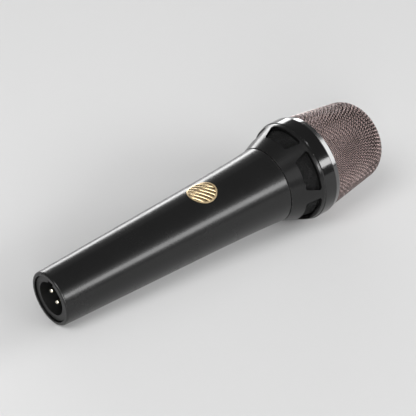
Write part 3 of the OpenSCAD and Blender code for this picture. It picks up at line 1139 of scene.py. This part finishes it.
@dataclass
class Capsule(SubAssembly):
    """The floating capsule and its moving diaphragm."""

    def build(self) -> None:
        """Dress the capsule's nodes."""
        self.shop.dress_nodes({
            "terminal_board": Moulded("board_laminate", (0.03, 0.12, 0.05, 1.0), 0.35, 0.2),
            "rubber_mount": Moulded("mount_rubber", grey(0.01), 0.65, 0.2, 0.3),
            "rear_chamber": Moulded("chamber_plastic", (0.55, 0.52, 0.45, 1.0), 0.4),
            "capsule_frame": Moulded("frame_plastic", grey(0.02), 0.4),
            "magnet_yoke": TurnedMetal("yoke_steel", grey(0.35), 0.32),
            "magnet": TurnedMetal("magnet_nickel", grey(0.55, 0.03), 0.15),
            "pole_plate": TurnedMetal("pole_steel", grey(0.32), 0.35),
            "capsule_cap": TurnedMetal("cap_aluminium", grey(0.5), 0.28, 0.3, 6.0, Grain.RADIUS),
            "damping_disc": Felt("damping_felt", (0.6, 0.56, 0.48, 1.0)),
            "diaphragm": Film("diaphragm_film", (0.75, 0.7, 0.58, 1.0)),
            "voice_coil": Winding("coil_copper", (0.7, 0.3, 0.12, 1.0)),
        })


@dataclass
class HeadShell(SubAssembly):
    """The vented shell, its thread and foam, and the polished clamp ring.

    Attributes:
        paint: Finish of the shell.
        ring: Finish of the clamp ring.
        thread: The screw thread in the shell's bore.
        foam_section: Radius and height of the vent foam's outer surface, from front to rear.
    """

    paint: SatinPaint = SatinPaint("shell_paint", roughness=0.24, bands=(125.3, 140.8))
    ring: TurnedMetal = TurnedMetal("ring_metal", grey(0.06), 0.13, 0.1, bright=(147.95, grey(0.15)))
    thread: Thread = Thread("shell_thread", root_r=16.94, crest_r=15.9, low_z=127.0, turns=3.2,
                            foot=1.0, phase=0.5)
    foam_section: tuple[tuple[float, float], ...] = ((21.75, 141.0), (21.75, 139.2), (19.35, 131.85))

    def build(self) -> None:
        """Dress the shell's nodes, and add the thread and the vent's foam."""
        rim = TurnedMetal("rim_steel", grey(0.5), 0.3)
        self.shop.dress_nodes({"head_shell": self.paint, "clamp_ring": self.ring, "grille_rim": rim})
        bare = TurnedMetal("bore_metal", grey(0.42, 0.02), 0.3, 0.3, 8.0)
        self.thread.build(self.shop, bare, Body.HEAD, "shell_paint")
        foam = StrutFoam("vent_foam_ring", Profile(self.foam_section), cell=1.3, strut=0.12,
                         layers=3, depth=0.5, back=0.8)
        foam.build(self.shop, OpenFoam("vent_foam", pores=1.6), Body.HEAD, "vent_foam")


@dataclass
class BasketSection:
    """Section of the basket: a crown arc, a shoulder arc, a tapering side and a straight hem.

    Arc lengths run from the crown. Each point is a radius and a height.

    Attributes:
        crown_r: Radius of the crown arc in millimetres.
        shoulder_r: Radius of the shoulder arc.
        taper: Taper of the side in radians.
        base_r: Radius where the basket leaves the clamp ring.
        base_z: Height where it leaves the ring.
        height: Height of the basket above the ring.
        hem_z: Height where the cut wires end.
        centre_z: Height of the crown arc's centre.
        crown_angle: Angle from the axis at which the crown arc ends.
        centre: The shoulder arc's centre.
        top: Top of the side.
        crown_s: Arc length at the end of the crown.
        shoulder_s: Arc length at the end of the shoulder.
        side_s: Arc length at the end of the side.
        hem_s: Arc length at the hem.
    """

    crown_r: float = 48.0
    shoulder_r: float = 10.5
    taper: float = math.radians(7.8)
    base_r: float = 23.85
    base_z: float = 150.5
    height: float = 38.7
    hem_z: float = 145.0
    centre_z: float = field(init=False)
    crown_angle: float = field(init=False)
    centre: tuple[float, float] = field(init=False)
    top: tuple[float, float] = field(init=False)
    crown_s: float = field(init=False)
    shoulder_s: float = field(init=False)
    side_s: float = field(init=False)
    hem_s: float = field(init=False)

    def __post_init__(self) -> None:
        """Work out the arcs' centres and lengths."""
        gap = self.crown_r - self.shoulder_r
        end_angle = math.pi / 2 - self.taper
        self.centre_z = self.base_z + self.height - self.crown_r
        side = (self.base_r * math.cos(self.taper)
                + (self.base_z - self.centre_z) * math.sin(self.taper))
        self.crown_angle = math.asin((side - self.shoulder_r) / gap) - self.taper
        self.centre = (gap * math.sin(self.crown_angle),
                       self.centre_z + gap * math.cos(self.crown_angle))
        self.top = self.on_shoulder(end_angle)
        self.crown_s = self.crown_r * self.crown_angle
        self.shoulder_s = self.crown_s + self.shoulder_r * (end_angle - self.crown_angle)
        self.side_s = self.shoulder_s + (self.top[1] - self.base_z) / math.cos(self.taper)
        self.hem_s = self.side_s + self.base_z - self.hem_z

    def on_shoulder(self, a: float) -> tuple[float, float]:
        """Point of the shoulder arc whose normal leans from the axis by an angle."""
        return (self.centre[0] + self.shoulder_r * math.sin(a),
                self.centre[1] + self.shoulder_r * math.cos(a))

    def angle(self, s: float) -> float:
        """Find how far the outward normal leans from the axis.

        Args:
            s: Arc length.

        Returns:
            The angle in radians.
        """
        if s < self.crown_s:
            return s / self.crown_r
        if s < self.shoulder_s:
            return self.crown_angle + (s - self.crown_s) / self.shoulder_r
        return math.pi / 2 - self.taper if s < self.side_s else math.pi / 2

    def point(self, s: float, inset: float) -> tuple[float, float]:
        """Find a point of the section.

        Args:
            s: Arc length.
            inset: How far the point is moved inwards.

        Returns:
            The point's radius and height.
        """
        a = self.angle(s)
        if s < self.crown_s:
            r, z = self.crown_r * math.sin(a), self.centre_z + self.crown_r * math.cos(a)
        elif s < self.shoulder_s:
            r, z = self.on_shoulder(a)
        elif s < self.side_s:
            run = s - self.shoulder_s
            r, z = self.top[0] + run * math.sin(self.taper), self.top[1] - run * math.cos(self.taper)
        else:
            r, z = self.base_r, self.base_z - (s - self.side_s)
        return r - inset * math.sin(a), z - inset * math.cos(a)


@dataclass
class Grille(SubAssembly):
    """The woven wire basket, at its real pitch, and the foam that lines it.

    A flat weave is drawn over the basket's section. A point (i, j) of the weave lies at
    wire i of the main wires and wire j of the crossing ones.

    Attributes:
        section: The basket's section.
        steel: Finish of the wires.
        pitch: Distance between wires in millimetres.
        wire_r: Radius of a wire.
        clearance: Room between two wires that cross.
        clock: Azimuth of the first main wire, in radians.
        tighten: How much closer the wires lie where the basket leaves the ring.
        loosen: How much of that is given back there on the diagonals.
        gather: How far the weave shifts there towards the diagonals, in radians.
        steps: Points per crossing along a wire.
        rounds: Rounds in which a drawn point settles.
        halvings: Halvings in which a wire's end is found.
        foam_gap: Room between the wires and the foam.
        foam_tail: How far the foam runs past the side's end.
        foam_steps: Straight pieces in the foam's section.
    """

    section: BasketSection = field(default_factory=BasketSection)
    steel: WireSteel = WireSteel("mesh_steel")
    pitch: float = 1.48
    wire_r: float = 0.29
    clearance: float = 0.04
    clock: float = math.radians(-5.4)
    tighten: float = 0.103
    loosen: float = 0.149
    gather: float = 0.1065
    steps: float = 3.3
    rounds: int = 12
    halvings: int = 30
    foam_gap: float = 0.45
    foam_tail: float = 0.4
    foam_steps: int = 40

    @property
    def lift(self) -> float:
        """How far a wire's middle rises where it passes over another."""
        return self.wire_r + self.clearance / 2

    def drape(self, i: float, j: float) -> tuple[float, float]:
        """Find where a point of the flat weave comes to lie on the drawn basket.

        Args:
            i: Place across the main wires.
            j: Place along them.

        Returns:
            The point's arc length and azimuth.
        """
        flat, way = self.pitch * math.hypot(i, j), math.atan2(j, i)
        s, turn = flat, way
        for _ in range(self.rounds):
            pull = (min(s, self.section.hem_s) / self.section.side_s) ** 2
            turn = way + self.gather * pull * math.sin(4 * turn)
            diagonal = 1 - self.loosen * pull * math.sin(2 * turn) ** 2
            s = flat / ((1 + self.tighten * pull) * diagonal)
        return s, self.clock + turn

    def place(self, i: float, j: float, rise: float) -> Vector:
        """Find a point of a wire's middle line.

        Args:
            i: Place across the main wires.
            j: Place along them.
            rise: Its height over the middle surface of the weave.

        Returns:
            The point in own millimetres.
        """
        s, azimuth = self.drape(i, j)
        r, z = self.section.point(s, self.wire_r + self.lift - rise)
        return about_axis(r, azimuth, z)

    def reach(self, i: float) -> float:
        """Find the largest step along a wire that still lies above the hem.

        Args:
            i: The wire.

        Returns:
            The step.
        """
        low, high = 0.0, 2 * self.section.hem_s / self.pitch
        for _ in range(self.halvings):
            middle = (low + high) / 2
            if self.drape(i, middle)[0] < self.section.hem_s:
                low = middle
            else:
                high = middle
        return low

    def wire(self, i: int, across: bool) -> Iterator[Vector]:
        """Walk one wire from hem to hem.

        Args:
            i: The wire.
            across: True for a wire that crosses the main direction.

        Yields:
            The wire's points in own millimetres.
        """
        end = self.reach(i)
        count = max(2, round(2 * end * self.steps))
        rise = -self.lift if across else self.lift
        for k in range(count + 1):
            j = -end + 2 * end * k / count
            wave = rise * math.cos(math.pi * (i + j))
            yield self.place(j, i, wave) if across else self.place(i, j, wave)

    def family(self, name: str, across: bool) -> None:
        """Build the wires that run one way, as one piece.

        Args:
            name: The piece's name.
            across: True for the wires that cross the main direction.
        """
        last = int(self.reach(0))
        wires = [list(self.wire(i, across)) for i in range(-last, last + 1)]
        obj = tubes(name, wires, self.wire_r)
        self.shop.complete(obj, self.steel, Body.HEAD, "mesh_steel", angle=60.0)
        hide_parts("grille_mesh")

    def line(self) -> None:
        """Build the foam that lines the basket in place of its CAD solid."""
        skin = 4 * self.wire_r + self.foam_gap
        last = self.section.side_s + self.foam_tail
        outer = [self.section.point(last * k / self.foam_steps, skin)
                 for k in range(self.foam_steps + 1)]
        foam = StrutFoam("basket_foam", Profile(outer), cell=1.5, strut=0.11, layers=2,
                         depth=0.6, back=1.0)
        foam.build(self.shop, OpenFoam("liner_foam", pores=1.2), Body.HEAD, "foam_liner")

    def build(self) -> None:
        """Build the weave's two families of wires and the foam behind them."""
        self.family("weave_warp", False)
        self.family("weave_weft", True)
        self.line()


class Profile:
    """Section of a turned surface, walked by arc length through straight pieces.

    Attributes:
        points: Radius and height pairs in own millimetres.
        lengths: Arc length at each point.
        spread: Conformal exponent at each point, which keeps cells round on a flat drawing.
    """

    def __init__(self, points: Sequence[tuple[float, float]]) -> None:
        """Measure the section.

        Args:
            points: Radius and height pairs, with the outward side on the right of the walk.
        """
        self.points = [Vector(p) for p in points]
        self.lengths = [0.0]
        self.spread = [0.0]
        for a, b in zip(self.points, self.points[1:]):
            step = (b - a).length
            self.lengths.append(self.lengths[-1] + step)
            self.spread.append(self.spread[-1] + step / max(AXIS_R, (a.x + b.x) / 2))

    @property
    def length(self) -> float:
        """Whole arc length."""
        return self.lengths[-1]

    def at(self, s: float) -> tuple[float, float, float, float, float]:
        """Read the section at an arc length.

        Args:
            s: Arc length.

        Returns:
            Radius, height, the outward normal's two parts and the conformal exponent.
        """
        s = min(max(s, 0.0), self.length - 1e-6)
        k = next(i for i in range(len(self.lengths) - 1) if self.lengths[i + 1] > s)
        a, b = self.points[k], self.points[k + 1]
        share = (s - self.lengths[k]) / (self.lengths[k + 1] - self.lengths[k])
        place, way = a.lerp(b, share), (b - a).normalized()
        spread = self.spread[k] + share * (self.spread[k + 1] - self.spread[k])
        return place.x, place.y, -way.y, way.x, spread


@dataclass
class StrutFoam:
    """Open-cell foam modelled as layers of struts over a dark core.

    Attributes:
        name: The piece's name.
        profile: Section of the foam's outer surface, from the crown or the front to the rear.
        cell: Mean width of a cell in millimetres.
        strut: Thickness of a strut.
        layers: Number of strut layers, each deeper than the last.
        depth: Distance between layers and from the last to the core.
        back: Thickness of the core behind the layers.
        seed: Seed of the cells' irregularity.
        seed_step: What each deeper layer adds to the seed.
        jitter: How far a cell strays either way, as a share of its width.
        dent: How far a strut's joint lies in or out, as a share of a cell's width.
        row_share: Height of a row of cells, as a share of a cell's width.
    """

    name: str
    profile: Profile
    cell: float
    strut: float
    layers: int
    depth: float
    back: float
    seed: int = 3
    seed_step: int = 17
    jitter: float = 0.3
    dent: tuple[float, float] = (-0.2, 0.05)
    row_share: float = 0.87

    def seeds(self, rng: random.Random, inset: float) -> Iterator[tuple[float, float]]:
        """Scatter the middles of the cells.

        Args:
            rng: Source of the irregularity.
            inset: Depth of the layer, which only shrinks the count of a row.

        Yields:
            Arc length and azimuth of each cell.
        """
        rows = max(2, round(self.profile.length / (self.row_share * self.cell)))
        for row in range(rows + 1):
            s = self.profile.length * row / rows
            r = self.profile.at(s)[0] - inset
            count = max(1, round(2 * math.pi * max(r, 0.0) / self.cell))
            for k in range(count):
                drift = rng.uniform(-self.jitter, self.jitter) * self.cell
                turn = (k + 0.5 * (row % 2) + rng.uniform(-self.jitter, self.jitter)) / count
                yield min(max(s + drift, 0.0), self.profile.length), 2 * math.pi * turn

    def inner(self, s: float, inset: float) -> tuple[float, float]:
        """Radius and height of the section moved inwards by inset."""
        r, z, nr, nz, _ = self.profile.at(s)
        return r - inset * nr, z - inset * nz

    def place(self, s: float, azimuth: float, inset: float) -> Vector:
        """Point of a layer in own millimetres."""
        r, z = self.inner(s, inset)
        return about_axis(r, azimuth, z)

    def layer(self, index: int) -> Piece:
        """Build one layer of cells and cut them down to their struts.

        Args:
            index: The layer, counted from the outside.

        Returns:
            The layer's mesh object.
        """
        rng = random.Random(self.seed + self.seed_step * index)
        inset = self.strut + index * self.depth
        seeds = list(self.seeds(rng, inset))
        whole = self.profile.spread[-1]
        flat = [about_axis(math.exp(self.profile.at(s)[4] - whole), azimuth, 0.0).to_2d()
                for s, azimuth in seeds]
        points, _, faces, origins, _, _ = delaunay_2d_cdt(flat, [], [], 0, 1e-9)
        # A ring is open in the middle, so faces that bridge its hole are left out.
        hole = math.exp(-whole) * 0.999 if self.profile.points[0].x > 1.0 else 0.0
        spot = [self.place(*seeds[origin[0]], inset) for origin in origins]
        mesh = bmesh.new()
        centres: dict[int, list[tuple[float, bmesh.types.BMVert]]] = {}
        for face in faces:
            middle = sum((points[v] for v in face), Vector((0.0, 0.0))) / 3
            if middle.length < hole:
                continue
            centre = sum((spot[v] for v in face), Vector()) / 3
            out = Vector((centre.x, centre.y, 0.0)).normalized() * rng.uniform(*self.dent) * self.cell
            vert = mesh.verts.new(centre + out)
            for v in face:
                away = middle - points[v]
                centres.setdefault(v, []).append((math.atan2(away.y, away.x), vert))
        for ring in centres.values():
            if len(ring) > 3:
                mesh.faces.new([vert for _, vert in sorted(ring, key=lambda pair: pair[0])])
        data = bpy.data.meshes.new(f"{self.name}_layer")
        mesh.to_mesh(data)
        mesh.free()
        obj = new_object(data.name, data)
        wire = obj.modifiers.new("struts", "WIREFRAME")
        wire.thickness = 2 * self.strut
        wire.use_even_offset = False
        apply_modifiers(obj)
        return obj

    def core(self) -> Piece:
        """Turn the dark core that closes the view through the layers.

        Returns:
            The core's mesh object.
        """
        front_inset = self.strut + (self.layers - 0.5) * self.depth
        steps = max(4, round(self.profile.length / 2))
        walk = [self.profile.length * k / steps for k in range(steps + 1)]
        front, rear = (
            [(max(0.0, r), z) for r, z in (self.inner(s, inset) for s in walk)]
            for inset in (front_inset, front_inset + self.back))
        return lathe(f"{self.name}_core", front + rear[::-1] + front[:1])

    def build(self, shop: Workshop, finish: OpenFoam, body: Body, node: str) -> None:
        """Build the foam in place of its CAD solid.

        Args:
            shop: The workshop.
            finish: The foam's finish, whose name is also its record slot.
            body: The body that it rides on.
            node: The CAD node that it stands for.
        """
        pieces = [self.core()] + [self.layer(k) for k in range(self.layers)]
        deselect()
        for piece in pieces:
            piece.select_set(True)
        bpy.context.view_layer.objects.active = pieces[0]
        bpy.ops.object.join()
        foam = named(bpy.context.object, self.name)
        shop.complete(foam, finish, body, finish.name, angle=50.0)
        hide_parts(node)


# ---------------------------------------------------------------- studio


@dataclass(frozen=True)
class Lamp:
    """Soft rectangular lamp aimed at the microphone.

    Attributes:
        name: The lamp's name.
        azimuth: Its azimuth in degrees.
        elevation: Its elevation in degrees.
        far: Its distance in metres.
        width: Its width in metres.
        height: Its height in metres.
        power: Its power in watts.
    """

    name: str
    azimuth: float
    elevation: float
    far: float
    width: float
    height: float
    power: float

    def build(self) -> None:
        """Add the lamp."""
        azimuth, rise = math.radians(self.azimuth), math.radians(self.elevation)
        at = about_axis(self.far * math.cos(rise), azimuth, self.far * math.sin(rise))
        data = bpy.data.lights.new(self.name, "AREA")
        data.shape = "RECTANGLE"
        data.size, data.size_y = self.width, self.height
        data.energy = self.power
        obj = new_object(self.name, data)
        obj.location = at
        obj.rotation_euler = (-at).to_track_quat("-Z", "Y").to_euler()
        obj.visible_camera = False


@dataclass
class Studio:
    """Pale floor, soft lamps and the camera.

    Attributes:
        camera_at: The camera's place in metres.
        aim: A point that the camera looks at.
        lens: Focal length in millimetres.
        sensor: Width of the camera's sensor in millimetres.
        floor_size: Width of the floor in metres.
        paper: Colour of the floor.
        surround: Strength of the even light all round.
        lamps: The lamps.
    """

    camera_at: tuple[float, float, float] = (-0.4478, -0.5317, 0.4474)
    aim: tuple[float, float, float] = (-0.0105, -0.0075, 0.0303)
    lens: float = 153.1
    sensor: float = 36.0
    floor_size: float = 80.0
    paper: Colour = grey(0.68)
    surround: float = 0.22
    lamps: tuple[Lamp, ...] = (
        Lamp("key", 200.0, 52.0, 1.6, 0.9, 0.9, 12.0),
        Lamp("fill", -89.0, 30.0, 9.6, 6.4, 4.8, 72.0),
        Lamp("tail", -129.0, 15.0, 9.6, 3.2, 4.0, 380.0),
        Lamp("rim", 61.0, 9.0, 13.0, 11.0, 3.4, 800.0),
        Lamp("front", -65.0, 22.0, 9.6, 6.4, 2.08, 416.0),
        Lamp("head", -11.0, 19.0, 10.0, 7.5, 5.4, 624.0))

    def camera(self) -> None:
        """Add the camera."""
        data = bpy.data.cameras.new("camera")
        data.lens = self.lens
        data.sensor_width = self.sensor
        data.clip_start = 0.01
        obj = new_object("camera", data)
        obj.location = self.camera_at
        look = Vector(self.aim) - Vector(self.camera_at)
        obj.rotation_euler = look.to_track_quat("-Z", "Y").to_euler()
        bpy.context.scene.camera = obj

    def floor(self) -> None:
        """Add the pale floor."""
        deselect()
        bpy.ops.mesh.primitive_plane_add(size=self.floor_size, location=(0, 0, 0))
        floor = named(bpy.context.object, "floor")
        material = bpy.data.materials.new("floor_paper")
        material.use_nodes = True
        tree = Tree(material.node_tree)
        tree.feed(tree.tree.nodes["Principled BSDF"], Base_Color=self.paper, Roughness=0.85)
        dress(floor, material)

    def world(self) -> None:
        """Set a dim even surround."""
        world = bpy.data.worlds.new("studio")
        world.use_nodes = True
        tree = Tree(world.node_tree)
        tree.feed(tree.tree.nodes["Background"], Color=grey(1.0), Strength=self.surround)
        bpy.context.scene.world = world

    def build(self) -> None:
        """Build the studio."""
        self.camera()
        self.floor()
        self.world()
        for lamp in self.lamps:
            lamp.build()
        bpy.context.scene.view_settings.view_transform = "Standard"


def main() -> None:
    """Build every sub-assembly in order."""
    logging.basicConfig(level=logging.INFO, format="%(name)s %(message)s")
    shop = Workshop(OwnFrame.from_mounts(frame["record"]["mounts"]))
    for part in (Handle(shop), TailConnector(shop), Capsule(shop), HeadShell(shop), Grille(shop)):
        LOG.info("building %s", type(part).__name__)
        part.build()
    Studio().build()


if __name__ == "__main__":
    main()
